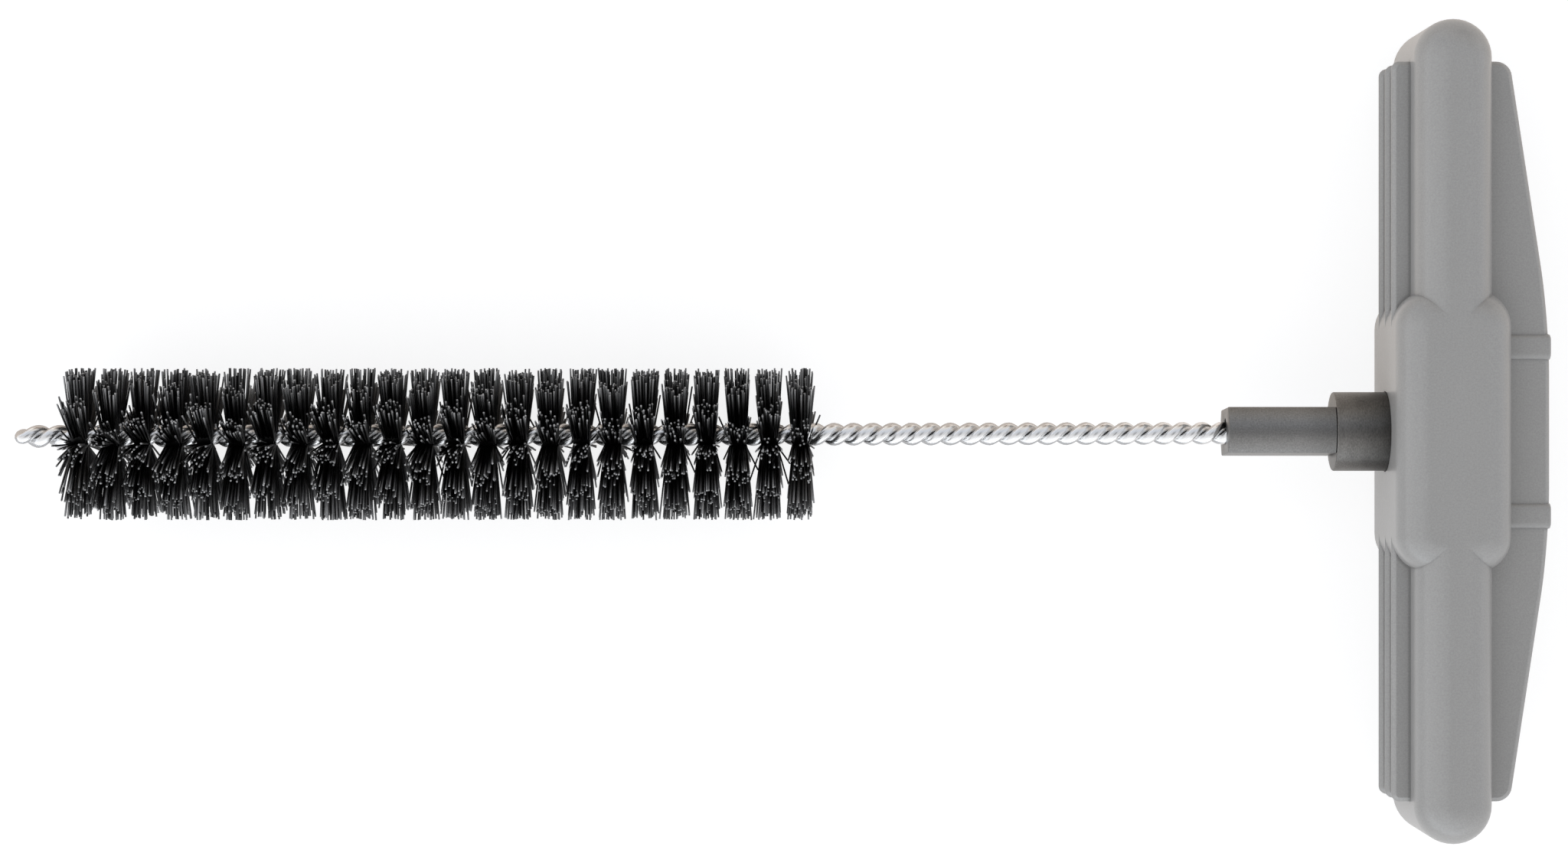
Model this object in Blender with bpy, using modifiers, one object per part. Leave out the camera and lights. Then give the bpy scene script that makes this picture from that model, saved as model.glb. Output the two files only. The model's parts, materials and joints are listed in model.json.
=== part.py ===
"""A T-handle brush that cleans drilled holes: a moulded handle, a metal ferrule with two flats, a collar,
a twisted hairpin wire and rows of nylon bristles. Metres, +Z up. The tool lies on the underside of its
handle, with the brush along -X and the grip along Y. The origin is under the middle of the whole tool."""

import math
import random

import bmesh
import bpy
from mathutils import Matrix, Vector

# Fits
GAP = 0.0003
CUT_OVERRUN = 0.002

# Angles that say which faces are one flat, which edges are rounded and which are shaded as one round form
FLAT_ANGLE = math.radians(0.5)
EDGE_ANGLE = math.radians(60)
TURNED_SHADE_ANGLE = math.radians(35)
MOULDED_SHADE_ANGLE = math.radians(50)
WIRE_SHADE_ANGLE = math.radians(70)

# Handle: the grip bar
BAR_WIDTH = 0.0100
BAR_LENGTH = 0.1060
BAR_THICKNESS = 0.0248
BAR_EDGE = 0.0046
BAR_END_SEGMENTS = 12
BAR_EDGE_SEGMENTS = 4

# Handle: the boss round the socket
BOSS_DEPTH = 0.0148
BOSS_LEAD = 0.0074
BOSS_LENGTH = 0.0362
BOSS_CORNER = 0.0046
BOSS_EDGE = 0.0042
BOSS_CORNER_SEGMENTS = 4

# Handle: three fins that widen into a wing on the palm side
FIN_COUNT = 3
FIN_SPACING = 0.0050
FIN_THICKNESS = 0.00135
FIN_LENGTH = 0.0956
FIN_FRONT_CORNER = 0.0010
FIN_PALM_CORNER = 0.0020
FIN_CORNER_SEGMENTS = 4
FIN_EDGE = 0.0006
FIN_EDGE_SEGMENTS = 2
WING_REACH = 0.0130
WING_END_REACH = 0.0079
WING_KNEE = 0.0143
WING_BLEND = 0.0900
WING_SEGMENTS = 4

# Handle: two ribs across the fins
RIB_OFFSET = 0.0109
RIB_THICKNESS = 0.0034
RIB_EDGE = 0.0009
RIB_EDGE_SEGMENTS = 3
RIB_PROUD = 0.00045
RIB_OVERHANG = 0.0001

# Ferrule
FERRULE_DIAMETER = 0.0098
FLAT_WIDTH = 0.0060
FLAT_LENGTH = 0.0140
FLAT_TURN = math.radians(3)
FERRULE_CHAMFER = 0.0002
NECK_DIAMETER = 0.0052
TAIL_LENGTH = 0.0070
TAIL_FLAT_WIDTH = 0.0040
TAIL_GROOVE_WIDTH = 0.0022
TAIL_GROOVE_DEPTH = 0.0005
ROUND_SEGMENTS = 24

# Collar
COLLAR_DIAMETER = 0.0103
COLLAR_SHOWN = 0.0069
COLLAR_SEATED = 0.0045
COLLAR_CHAMFER = 0.0003

# Twisted wire, drawn a little thin so that its two strands stay apart
WIRE_DIAMETER = 0.0012
TWIST_DIAMETER = 0.0030
BARE_LEAD = 0.005056
BRUSH_LEAD = 0.005488
BARE_LENGTH = 0.0554
TIP_LENGTH = 0.0086
TWIST_FADE = 0.0015
WIRE_TAIL = 0.0080
POINTS_PER_TURN = 8
TIP_BEND_STEPS = 4
BARE_PHASE = math.radians(139.3)
STEM_DROP_AT_FERRULE = 0.00022
STEM_DROP_AT_TIP = 0.00065

# Bristles
ROW_COUNT = 24
ROW_PITCH = 0.00409
BRUSH_DIAMETER = 0.0199
BRUSH_DROP = 0.00165
TUFT_COUNT = 10
HUB_WALL = 0.00055
HUB_LENGTH = 0.0018
STRAND_INSET = 0.0003
STRAND_TIP_SHARE = 0.75
TIP_SPLAY = 0.00125
SPLAY_SPREAD = 0.00022
LENGTH_SPREAD = 0.0005
TUFT_HALF_ANGLE = math.radians(5)
ANGLE_SPREAD = math.radians(2)
ROW_TURNS = (math.radians(28), math.radians(13))

# Colour, roughness and metallic value of each finish
FINISHES = {
    "grey_plastic": ((0.31, 0.31, 0.305), 0.55, 0.0),
    "dark_metal": ((0.16, 0.155, 0.15), 0.45, 0.9),
    "collar_metal": ((0.10, 0.095, 0.09), 0.45, 0.9),
    "bright_wire": ((0.62, 0.62, 0.61), 0.28, 1.0),
    "black_nylon": ((0.012, 0.012, 0.012), 0.45, 0.0),
}

# Places along X, from the palm edge back to the tip
BRUSH_LENGTH = (ROW_COUNT - 1) * ROW_PITCH
TOOL_LENGTH = (
    TIP_LENGTH + BRUSH_LENGTH + BARE_LENGTH + FLAT_LENGTH + COLLAR_SHOWN
    + BOSS_LEAD + WING_REACH + RIB_OVERHANG
)
TIP_X = -TOOL_LENGTH / 2
FIRST_ROW_X = TIP_X + TIP_LENGTH
LAST_ROW_X = FIRST_ROW_X + BRUSH_LENGTH
FERRULE_X = LAST_ROW_X + BARE_LENGTH
COLLAR_X = FERRULE_X + FLAT_LENGTH
BOSS_X = COLLAR_X + COLLAR_SHOWN
BAR_X = BOSS_X + BOSS_LEAD
COLLAR_END_X = BOSS_X + COLLAR_SEATED
TAIL_END_X = COLLAR_END_X + TAIL_LENGTH
AXIS_Z = BAR_THICKNESS / 2


def clear_scene():
    for obj in list(bpy.data.objects):
        bpy.data.objects.remove(obj, do_unlink=True)


def new_collection(name, shown):
    group = bpy.data.collections.new(name)
    group.hide_render = not shown
    bpy.context.scene.collection.children.link(group)
    return group


def finish_material(name):
    colour, roughness, metallic = FINISHES[name]
    material = bpy.data.materials.get(name) or bpy.data.materials.new(name)
    material.use_nodes = True
    shader = material.node_tree.nodes["Principled BSDF"]
    shader.inputs["Base Color"].default_value = (*colour, 1)
    shader.inputs["Roughness"].default_value = roughness
    shader.inputs["Metallic"].default_value = metallic
    return material


def add_object(name, mesh, group, finish=None):
    """A mesh object in its collection. A piece without a finish is a helper that is never rendered."""
    obj = bpy.data.objects.new(name, mesh)
    group.objects.link(obj)
    if finish:
        mesh.materials.append(finish_material(finish))
    else:
        obj.hide_render = True
        obj.display_type = "WIRE"
    return obj


def mesh_from(bm, name):
    mesh = bpy.data.meshes.new(name)
    bmesh.ops.recalc_face_normals(bm, faces=bm.faces)
    bm.to_mesh(mesh)
    bm.free()
    return mesh


def curve_to_mesh(curve_object):
    """The curve's shape as a mesh with its caps welded on. The curve object is removed."""
    graph = bpy.context.evaluated_depsgraph_get()
    graph.update()
    mesh = bpy.data.meshes.new_from_object(curve_object.evaluated_get(graph))
    bm = bmesh.new()
    bm.from_mesh(mesh)
    bmesh.ops.remove_doubles(bm, verts=bm.verts, dist=GAP / 100)
    bmesh.ops.recalc_face_normals(bm, faces=bm.faces)
    bm.to_mesh(mesh)
    bm.free()
    bpy.data.objects.remove(curve_object, do_unlink=True)
    return mesh


def arc_corner(before, corner, after, radius, segments):
    """Points of the arc that rounds one corner of an outline."""
    to_before = (Vector(before) - Vector(corner)).normalized()
    to_after = (Vector(after) - Vector(corner)).normalized()
    half = to_before.angle(to_after) / 2
    middle = (to_before + to_after).normalized()
    centre = Vector(corner) + middle * radius / math.sin(half)
    start = Vector(corner) + to_before * radius / math.tan(half) - centre
    end = Vector(corner) + to_after * radius / math.tan(half) - centre
    sweep = start.angle_signed(end)
    return [
        centre + Matrix.Rotation(-sweep * step / segments, 2) @ start
        for step in range(segments + 1)
    ]


def rounded_outline(corners):
    """corners holds (x, y, radius, segments). Returns the outline's points."""
    points = []
    for index, (x, y, radius, segments) in enumerate(corners):
        before = corners[index - 1][:2]
        after = corners[(index + 1) % len(corners)][:2]
        points.extend(arc_corner(before, (x, y), after, radius, segments))
    return points


def slab(name, outline, thickness):
    """A mesh of a flat outline, extruded to a thickness about Z = 0."""
    curve = bpy.data.curves.new(name, "CURVE")
    curve.dimensions = "2D"
    curve.fill_mode = "BOTH"
    curve.extrude = thickness / 2
    line = curve.splines.new("POLY")
    line.points.add(len(outline) - 1)
    for point, place in zip(line.points, outline):
        point.co = (place[0], place[1], 0, 1)
    line.use_cyclic_u = True
    guide = bpy.data.objects.new(name, curve)
    bpy.context.scene.collection.objects.link(guide)
    mesh = curve_to_mesh(guide)
    bm = bmesh.new()
    bm.from_mesh(mesh)
    bmesh.ops.dissolve_limit(bm, angle_limit=FLAT_ANGLE, verts=bm.verts, edges=bm.edges)
    bm.to_mesh(mesh)
    bm.free()
    return mesh


def bevel(obj, width, segments):
    modifier = obj.modifiers.new("rounded edges", "BEVEL")
    modifier.width = width
    modifier.segments = segments
    modifier.limit_method = "ANGLE"
    modifier.angle_limit = EDGE_ANGLE


def boolean(obj, other, operation):
    modifier = obj.modifiers.new(other.name, "BOOLEAN")
    modifier.operation = operation
    modifier.object = other
    modifier.solver = "EXACT"


def smooth(obj, angle):
    """Shaded round, with a crisp line only where the surface turns by more than this angle."""
    obj.data.shade_smooth()
    obj.data.set_sharp_from_angle(angle=angle)


def turned(name, profile, group, finish=None):
    """A solid turned about X. The profile holds (x, radius) pairs from one end of the axis to the other."""
    mesh = bpy.data.meshes.new(name)
    bm = bmesh.new()
    verts = [bm.verts.new((radius, 0, -x)) for x, radius in profile]
    for first, second in zip(verts, verts[1:]):
        bm.edges.new((first, second))
    bm.to_mesh(mesh)
    bm.free()
    obj = add_object(name, mesh, group, finish)
    screw = obj.modifiers.new("turned", "SCREW")
    screw.steps = ROUND_SEGMENTS
    screw.render_steps = ROUND_SEGMENTS
    screw.use_merge_vertices = True
    screw.merge_threshold = GAP / 100
    obj.rotation_euler = (0, -math.pi / 2, 0)
    obj.location = (0, 0, AXIS_Z)
    return obj


def box(name, low, high, group):
    """A helper box between two corners."""
    size = Vector(high) - Vector(low)
    bm = bmesh.new()
    bmesh.ops.create_cube(bm, size=1)
    bmesh.ops.scale(bm, vec=size, verts=bm.verts)
    bmesh.ops.translate(bm, vec=(Vector(high) + Vector(low)) / 2, verts=bm.verts)
    return add_object(name, mesh_from(bm, name), group)


def stem_y(x):
    """The wire droops slightly from the ferrule to its tip."""
    share = (FERRULE_X - x) / (FERRULE_X - TIP_X)
    return -(STEM_DROP_AT_FERRULE + (STEM_DROP_AT_TIP - STEM_DROP_AT_FERRULE) * share)


def bar_outline():
    half_width = BAR_WIDTH / 2
    half_length = BAR_LENGTH / 2
    segments = BAR_END_SEGMENTS // 2
    corners = [
        (side * half_width, end * half_length, half_width, segments)
        for side, end in ((1, -1), (1, 1), (-1, 1), (-1, -1))
    ]
    return rounded_outline(corners)


def boss_outline():
    half_length = BOSS_LENGTH / 2
    places = ((BOSS_DEPTH, -1), (BOSS_DEPTH, 1), (0, 1), (0, -1))
    return rounded_outline(
        [(x, end * half_length, BOSS_CORNER, BOSS_CORNER_SEGMENTS) for x, end in places]
    )


def fin_outline():
    """One fin, measured from the boss's front wall: straight in front, and a wing with two knees behind."""
    half_length = FIN_LENGTH / 2
    palm = BOSS_LEAD + WING_REACH
    end = BOSS_LEAD + WING_END_REACH
    return rounded_outline([
        (0, -half_length, FIN_FRONT_CORNER, FIN_CORNER_SEGMENTS),
        (end, -half_length, FIN_PALM_CORNER, FIN_CORNER_SEGMENTS),
        (palm, -WING_KNEE, WING_BLEND, WING_SEGMENTS),
        (palm, WING_KNEE, WING_BLEND, WING_SEGMENTS),
        (end, half_length, FIN_PALM_CORNER, FIN_CORNER_SEGMENTS),
        (0, half_length, FIN_FRONT_CORNER, FIN_CORNER_SEGMENTS),
    ])


def tail_profile(clearance):
    """The ferrule's neck and tail behind the collar, or the socket round them when a clearance is given."""
    radius = NECK_DIAMETER / 2 + clearance
    groove_start = COLLAR_END_X + (TAIL_LENGTH - TAIL_GROOVE_WIDTH) / 2 + clearance
    groove_end = COLLAR_END_X + (TAIL_LENGTH + TAIL_GROOVE_WIDTH) / 2 - clearance
    groove = radius - TAIL_GROOVE_DEPTH
    return [
        (groove_start, radius),
        (groove_start, groove),
        (groove_end, groove),
        (groove_end, radius),
        (TAIL_END_X + clearance, radius),
        (TAIL_END_X + clearance, 0),
    ]


def flat_cutters(name, start, end, width, helpers):
    """Two boxes that leave flats this far apart on a bar, turned slightly about its axis."""
    made = []
    reach = FERRULE_DIAMETER / 2 + CUT_OVERRUN
    for side in (-1, 1):
        ends = sorted((side * width / 2, side * reach))
        cutter = box(f"{name}_{side}", (start, ends[0], -reach), (end, ends[1], reach), helpers)
        cutter.location = (0, 0, AXIS_Z)
        cutter.rotation_euler = (-FLAT_TURN, 0, 0)
        made.append(cutter)
    return made


def add_socket_cutters(handle, helpers):
    """The socket in the boss: a counterbore for the collar and a keyed pocket for the ferrule's tail."""
    collar_radius = COLLAR_DIAMETER / 2 + GAP
    counterbore_end = COLLAR_END_X + GAP
    cutter = turned("socket_cutter", [
        (BOSS_X - CUT_OVERRUN, 0),
        (BOSS_X - CUT_OVERRUN, collar_radius),
        (counterbore_end, collar_radius),
        (counterbore_end, NECK_DIAMETER / 2 + GAP),
        *tail_profile(GAP),
    ], helpers)
    keys = flat_cutters("socket_key", counterbore_end, TAIL_END_X + CUT_OVERRUN,
                        TAIL_FLAT_WIDTH + 2 * GAP, helpers)
    for key in keys:
        boolean(cutter, key, "DIFFERENCE")
    boolean(handle, cutter, "DIFFERENCE")


def make_handle(parts, helpers):
    handle = add_object("handle", slab("bar", bar_outline(), BAR_THICKNESS), parts, "grey_plastic")
    handle.location = (BAR_X, 0, AXIS_Z)
    bevel(handle, BAR_EDGE, BAR_EDGE_SEGMENTS)

    boss = add_object("boss_form", slab("boss", boss_outline(), BAR_THICKNESS), helpers)
    boss.location = (BOSS_X, 0, AXIS_Z)
    bevel(boss, BOSS_EDGE, BAR_EDGE_SEGMENTS)
    boolean(handle, boss, "UNION")

    fin_mesh = slab("fin", fin_outline(), FIN_THICKNESS)
    for number in range(FIN_COUNT):
        fin = add_object(f"fin_form_{number + 1}", fin_mesh, helpers)
        height = (number - (FIN_COUNT - 1) / 2) * FIN_SPACING
        fin.location = (BOSS_X, 0, AXIS_Z + height)
        bevel(fin, FIN_EDGE, FIN_EDGE_SEGMENTS)
        boolean(handle, fin, "UNION")

    rib_end = BAR_X + WING_REACH + RIB_OVERHANG
    rib_half_height = (FIN_COUNT - 1) / 2 * FIN_SPACING + FIN_THICKNESS / 2 + RIB_PROUD
    for side in (-1, 1):
        middle = side * RIB_OFFSET
        low = (BAR_X, middle - RIB_THICKNESS / 2, AXIS_Z - rib_half_height)
        high = (rib_end, middle + RIB_THICKNESS / 2, AXIS_Z + rib_half_height)
        rib = box(f"rib_form_{side}", low, high, helpers)
        bevel(rib, RIB_EDGE, RIB_EDGE_SEGMENTS)
        boolean(handle, rib, "UNION")

    add_socket_cutters(handle, helpers)
    smooth(handle, MOULDED_SHADE_ANGLE)


def make_ferrule(parts, helpers):
    """The flats in front, a neck through the collar, and the keyed tail in the handle."""
    front = FERRULE_DIAMETER / 2
    shoulder = COLLAR_X - GAP
    ferrule = turned("ferrule", [
        (FERRULE_X, 0),
        (FERRULE_X, front - FERRULE_CHAMFER),
        (FERRULE_X + FERRULE_CHAMFER, front),
        (shoulder, front),
        (shoulder, NECK_DIAMETER / 2),
        *tail_profile(0),
    ], parts, "dark_metal")
    cutters = flat_cutters("flat_cutter", FERRULE_X - CUT_OVERRUN, shoulder + GAP / 2, FLAT_WIDTH, helpers)
    cutters += flat_cutters("tail_flat_cutter", COLLAR_END_X, TAIL_END_X + CUT_OVERRUN,
                            TAIL_FLAT_WIDTH, helpers)
    bore = turned("bore_cutter", [
        (FERRULE_X - CUT_OVERRUN, 0),
        (FERRULE_X - CUT_OVERRUN, TWIST_DIAMETER / 2 + GAP),
        (FERRULE_X + WIRE_TAIL + GAP, TWIST_DIAMETER / 2 + GAP),
        (FERRULE_X + WIRE_TAIL + GAP, 0),
    ], helpers)
    bore.location = (0, -STEM_DROP_AT_FERRULE, AXIS_Z)
    for cutter in (*cutters, bore):
        boolean(ferrule, cutter, "DIFFERENCE")
    smooth(ferrule, TURNED_SHADE_ANGLE)


def make_collar(parts):
    outer = COLLAR_DIAMETER / 2
    inner = NECK_DIAMETER / 2 + GAP
    collar = turned("collar", [
        (COLLAR_X, inner),
        (COLLAR_X, outer - COLLAR_CHAMFER),
        (COLLAR_X + COLLAR_CHAMFER, outer),
        (COLLAR_END_X, outer),
        (COLLAR_END_X, inner),
        (COLLAR_X, inner),
    ], parts, "collar_metal")
    smooth(collar, TURNED_SHADE_ANGLE)


def twist_angle(x):
    """How far the twist has turned at x. It is tighter on the bare wire, and fades out before the tip."""
    if x >= LAST_ROW_X:
        turns = (x - LAST_ROW_X) / BARE_LEAD
    else:
        turns = (x - LAST_ROW_X) / BRUSH_LEAD
        into_fade = bend_x() - strand_radius() + TWIST_FADE - x
        if into_fade > 0:
            turns += into_fade ** 2 / (2 * TWIST_FADE * BRUSH_LEAD)
    return BARE_PHASE + 2 * math.pi * turns


def strand_radius():
    """How far each strand's centre line lies from the middle of the twist."""
    return (TWIST_DIAMETER - WIRE_DIAMETER) / 2


def bend_x():
    """Where the hairpin bend at the tip begins."""
    return TIP_X + TWIST_DIAMETER / 2


def strand_point(x, radius):
    """A point this far from the middle of the twist. A negative radius is the other strand."""
    angle = twist_angle(x)
    return Vector((x, stem_y(x) + radius * math.sin(angle), AXIS_Z + radius * math.cos(angle)))


def strand_places():
    """Places along X, from the bend to the wire's tail, that are evenly spaced in turn."""
    start = bend_x()
    end = FERRULE_X + WIRE_TAIL
    turned_by = twist_angle(end) - twist_angle(start)
    count = round(turned_by / (2 * math.pi) * POINTS_PER_TURN)
    places = [start]
    low = start
    for number in range(1, count):
        target = twist_angle(start) + turned_by * number / count
        high = end
        while high - low > GAP / 100:
            middle = (low + high) / 2
            if twist_angle(middle) < target:
                low = middle
            else:
                high = middle
        places.append(low)
    return [*places, end]


def wire_points():
    """Along one strand to the tip, round the hairpin bend and back along the other strand."""
    places = strand_places()
    radius = strand_radius()
    bend = []
    for step in range(1, TIP_BEND_STEPS):
        swing = math.pi * step / TIP_BEND_STEPS
        bend.append(strand_point(bend_x() - radius * math.sin(swing), radius * math.cos(swing)))
    out = [strand_point(x, radius) for x in reversed(places)]
    back = [strand_point(x, -radius) for x in places]
    return out + bend + back


def least_gap(points):
    """The least distance between the two strands, measured on the wire's straight runs."""
    count = len(points) // 2 - TIP_BEND_STEPS
    out = points[:count]
    back = points[-count:][::-1]
    steps = 4
    least = math.inf
    for index in range(count - 1):
        for share in range(steps):
            place = out[index].lerp(out[index + 1], share / steps)
            for near in range(max(0, index - POINTS_PER_TURN), min(count - 1, index + POINTS_PER_TURN)):
                for part in range(steps):
                    other = back[near].lerp(back[near + 1], part / steps)
                    least = min(least, (place - other).length)
    return least - WIRE_DIAMETER


def make_stem(parts):
    curve = bpy.data.curves.new("stem_wire", "CURVE")
    curve.dimensions = "3D"
    curve.bevel_depth = WIRE_DIAMETER / 2
    curve.bevel_resolution = 1
    curve.use_fill_caps = True
    points = wire_points()
    line = curve.splines.new("POLY")
    line.points.add(len(points) - 1)
    for point, place in zip(line.points, points):
        point.co = (*place, 1)
    guide = bpy.data.objects.new("stem_guide", curve)
    bpy.context.scene.collection.objects.link(guide)
    stem = add_object("stem_wire", curve_to_mesh(guide), parts, "bright_wire")
    smooth(stem, WIRE_SHADE_ANGLE)
    print(f"stem_wire: {len(points)} points, least gap {least_gap(points) * 1000:.2f} mm")


def make_bristle_row(number, chance, parts):
    """One row: a short ring of packed roots round the wire, with two strands in each tuft, one a side."""
    x = FIRST_ROW_X + number * ROW_PITCH
    turn = ROW_TURNS[number % 2]
    step = 2 * math.pi / TUFT_COUNT
    bore = (TWIST_DIAMETER / 2 + GAP) / math.cos(step / 2)
    outer = bore + HUB_WALL
    hub = Vector((x, stem_y(x), AXIS_Z))

    bm = bmesh.new()
    half = HUB_LENGTH / 2
    corners = [bm.verts.new((along, 0, radius))
               for along, radius in ((-half, bore), (half, bore), (half, outer), (-half, outer))]
    edges = [bm.edges.new((corners[index - 1], corners[index])) for index in range(4)]
    bmesh.ops.rotate(bm, verts=bm.verts, matrix=Matrix.Rotation(step / 2 - turn, 3, "X"))
    bmesh.ops.spin(bm, geom=corners + edges, axis=(1, 0, 0), angle=2 * math.pi, steps=TUFT_COUNT,
                   use_merge=True)
    bmesh.ops.recalc_face_normals(bm, faces=bm.faces)
    outside = [face for face in bm.faces
               if abs(face.normal.x) < 0.5 and face.normal.dot(face.calc_center_median()) > 0]
    roots = bmesh.ops.triangulate(bm, faces=outside)["faces"]
    bmesh.ops.inset_individual(bm, faces=roots, thickness=STRAND_INSET, use_even_offset=True)
    tips = bmesh.ops.extrude_discrete_faces(bm, faces=roots)["faces"]
    bmesh.ops.translate(bm, vec=hub, verts=bm.verts)

    for tip in tips:
        root = tip.calc_center_median() - hub
        side = math.copysign(1, root.x)
        angle = math.atan2(root.y, root.z)
        tuft = turn + step * round((angle - turn) / step)
        lean = math.copysign(TUFT_HALF_ANGLE, angle - tuft) + chance.uniform(-ANGLE_SPREAD, ANGLE_SPREAD)
        reach = BRUSH_DIAMETER / 2 - chance.uniform(0, LENGTH_SPREAD)
        end = Vector((
            x + side * (TIP_SPLAY + chance.uniform(-SPLAY_SPREAD, SPLAY_SPREAD)),
            reach * math.sin(tuft + lean) - BRUSH_DROP,
            AXIS_Z + reach * math.cos(tuft + lean),
        ))
        start = tip.calc_center_median()
        for vert in tip.verts:
            vert.co = end + (vert.co - start) * STRAND_TIP_SHARE
    name = f"bristle_row_{number + 1:02d}"
    add_object(name, mesh_from(bm, name), parts, "black_nylon")


def main():
    clear_scene()
    parts = new_collection("drill_hole_brush", True)
    helpers = new_collection("helper_shapes", False)
    make_handle(parts, helpers)
    make_ferrule(parts, helpers)
    make_collar(parts)
    make_stem(parts)
    chance = random.Random(7)
    for number in range(ROW_COUNT):
        make_bristle_row(number, chance, parts)
    print(f"bristles: {ROW_COUNT * TUFT_COUNT * 2} strands in {ROW_COUNT} rows")


main()
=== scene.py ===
# %% [markdown]
# # A drill hole cleaning brush, dressed for a studio photograph
# This lesson starts from a finished CAD frame of a T-handle brush. A mason pushes the brush into a
# drilled hole and turns it, to sweep out the dust before a fixing is glued in.
# The frame gives every size and place. The lesson builds the surfaces that a camera sees: the moulded
# handle, the turned steel, the twisted wire and thousands of nylon bristles.

# %% Load the frame
import json
import math
import random

import bmesh
import bpy
from mathutils import Matrix, Vector

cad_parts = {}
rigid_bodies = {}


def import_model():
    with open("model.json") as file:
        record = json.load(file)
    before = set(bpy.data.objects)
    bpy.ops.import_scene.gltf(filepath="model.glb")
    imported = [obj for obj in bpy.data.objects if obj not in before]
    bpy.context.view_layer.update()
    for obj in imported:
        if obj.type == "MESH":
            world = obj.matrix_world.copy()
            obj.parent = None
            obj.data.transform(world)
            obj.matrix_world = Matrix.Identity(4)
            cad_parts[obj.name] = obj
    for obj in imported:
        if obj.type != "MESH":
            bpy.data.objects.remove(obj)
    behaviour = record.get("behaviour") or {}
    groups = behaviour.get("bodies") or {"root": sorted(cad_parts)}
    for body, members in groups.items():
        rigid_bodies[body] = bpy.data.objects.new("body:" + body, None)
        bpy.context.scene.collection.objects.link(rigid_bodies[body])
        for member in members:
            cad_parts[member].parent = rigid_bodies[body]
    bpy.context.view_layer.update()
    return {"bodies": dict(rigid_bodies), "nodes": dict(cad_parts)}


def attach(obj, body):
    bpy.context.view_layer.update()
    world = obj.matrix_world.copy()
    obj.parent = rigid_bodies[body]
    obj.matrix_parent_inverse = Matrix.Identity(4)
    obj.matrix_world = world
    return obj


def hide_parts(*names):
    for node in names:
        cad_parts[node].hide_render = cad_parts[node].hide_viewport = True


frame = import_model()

# %% [markdown]
# Blender opens with a cube, a lamp and a camera. They are removed, so that nothing is in the picture
# that this lesson didn't put there. The frame's own objects stay.

# %% Empty the startup scene
kept = set(frame["nodes"].values()) | set(frame["bodies"].values())
for thing in list(bpy.data.objects):
    if thing not in kept:
        bpy.data.objects.remove(thing, do_unlink=True)
print("startup objects removed")

# %% [markdown]
# ## Camera
# The photograph looks straight down on the tool, from not far away: the near faces of the handle are
# a little larger than the far ones. A short distance and a plain 85 mm lens give that same spread. A
# longer lens from further off would show the same outline, but would hide the steps of the fins.
# The camera looks along -Z by default, with +Y up in the picture, so it needs no rotation.

# %% Camera over the tool
AXIS_Z = 0.0124
LENS_MM, SENSOR_MM = 85, 36
CAMERA_X, CAMERA_DISTANCE, NEAREST = 0.00075, 0.4836, 0.01

camera_data = bpy.data.cameras.new("camera")
camera_data.lens = LENS_MM
camera_data.sensor_width = SENSOR_MM
camera_data.clip_start = NEAREST
camera = bpy.data.objects.new("camera", camera_data)
camera.location = (CAMERA_X, 0, AXIS_Z + CAMERA_DISTANCE)
bpy.context.scene.collection.objects.link(camera)
bpy.context.scene.camera = camera
print(f"camera {camera.location.z * 1000:.0f} mm above the floor")

# %% [markdown]
# ## Floor and background
# The tool lies on a white table that fades into a white background. The floor is one large face.
# White paint sends most of its light back, and that lights the tool's upright walls from below. But
# a plain white face would still look grey in the picture. So rays that come from the camera or from a
# reflection see a darker face with some light of its own added, which is white with the tool's shadow
# on it. All other rays see plain white paint, so the glow throws no light on the tool.
# In reflections the table's paint is warm above the tool and cool below it, as the light tent's walls
# are, and its glow is bright only under the ferrule and the handle. The wire mirrors the dim part as a
# narrow rim, brown above and grey below. The handle's walls catch a soft light from the bright part.

# %% Helpers for materials
def new_material(name):
    material = bpy.data.materials.new(name)
    material.use_nodes = True
    tree = material.node_tree
    return material, tree, tree.nodes["Principled BSDF"]


def feed(tree, socket, value):
    """Links a socket to the one that it reads, or else gives it a plain value."""
    if isinstance(value, bpy.types.NodeSocket):
        tree.links.new(value, socket)
    else:
        socket.default_value = value


def feed_all(tree, inputs, values):
    """Feeds the inputs of a node by their names."""
    for label, value in values.items():
        feed(tree, inputs[label], value)


def maths(tree, operation, one, two):
    """A Math node. Each input is a socket to read or a number."""
    node = tree.nodes.new("ShaderNodeMath")
    node.operation = operation
    feed(tree, node.inputs[0], one)
    feed(tree, node.inputs[1], two)
    return node.outputs[0]


def mapped(tree, value, *ends):
    """Maps one range to another and holds its ends: from min, from max, to min and to max."""
    node = tree.nodes.new("ShaderNodeMapRange")
    for label, end in zip(("From Min", "From Max", "To Min", "To Max"), ends):
        feed(tree, node.inputs[label], end)
    feed(tree, node.inputs["Value"], value)
    return node.outputs["Result"]


def colour_mix(tree, factor, one, two):
    """Colour one where the factor is 0, colour two where it is 1. Each is a socket or three numbers."""
    node = tree.nodes.new("ShaderNodeMix")
    node.data_type = "RGBA"
    for label, colour in (("A", one), ("B", two)):
        feed(tree, node.inputs[label], (*colour, 1) if isinstance(colour, tuple) else colour)
    feed(tree, node.inputs["Factor"], factor)
    return node.outputs["Result"]


def components(tree, vector):
    """The three numbers of a vector, as sockets named X, Y and Z."""
    node = tree.nodes.new("ShaderNodeSeparateXYZ")
    feed(tree, node.inputs[0], vector)
    return node.outputs


def object_place(tree):
    """Object coordinates, which keep a pattern at the same place of a piece."""
    return tree.nodes.new("ShaderNodeTexCoord").outputs["Object"]


print("helpers ready")

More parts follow.
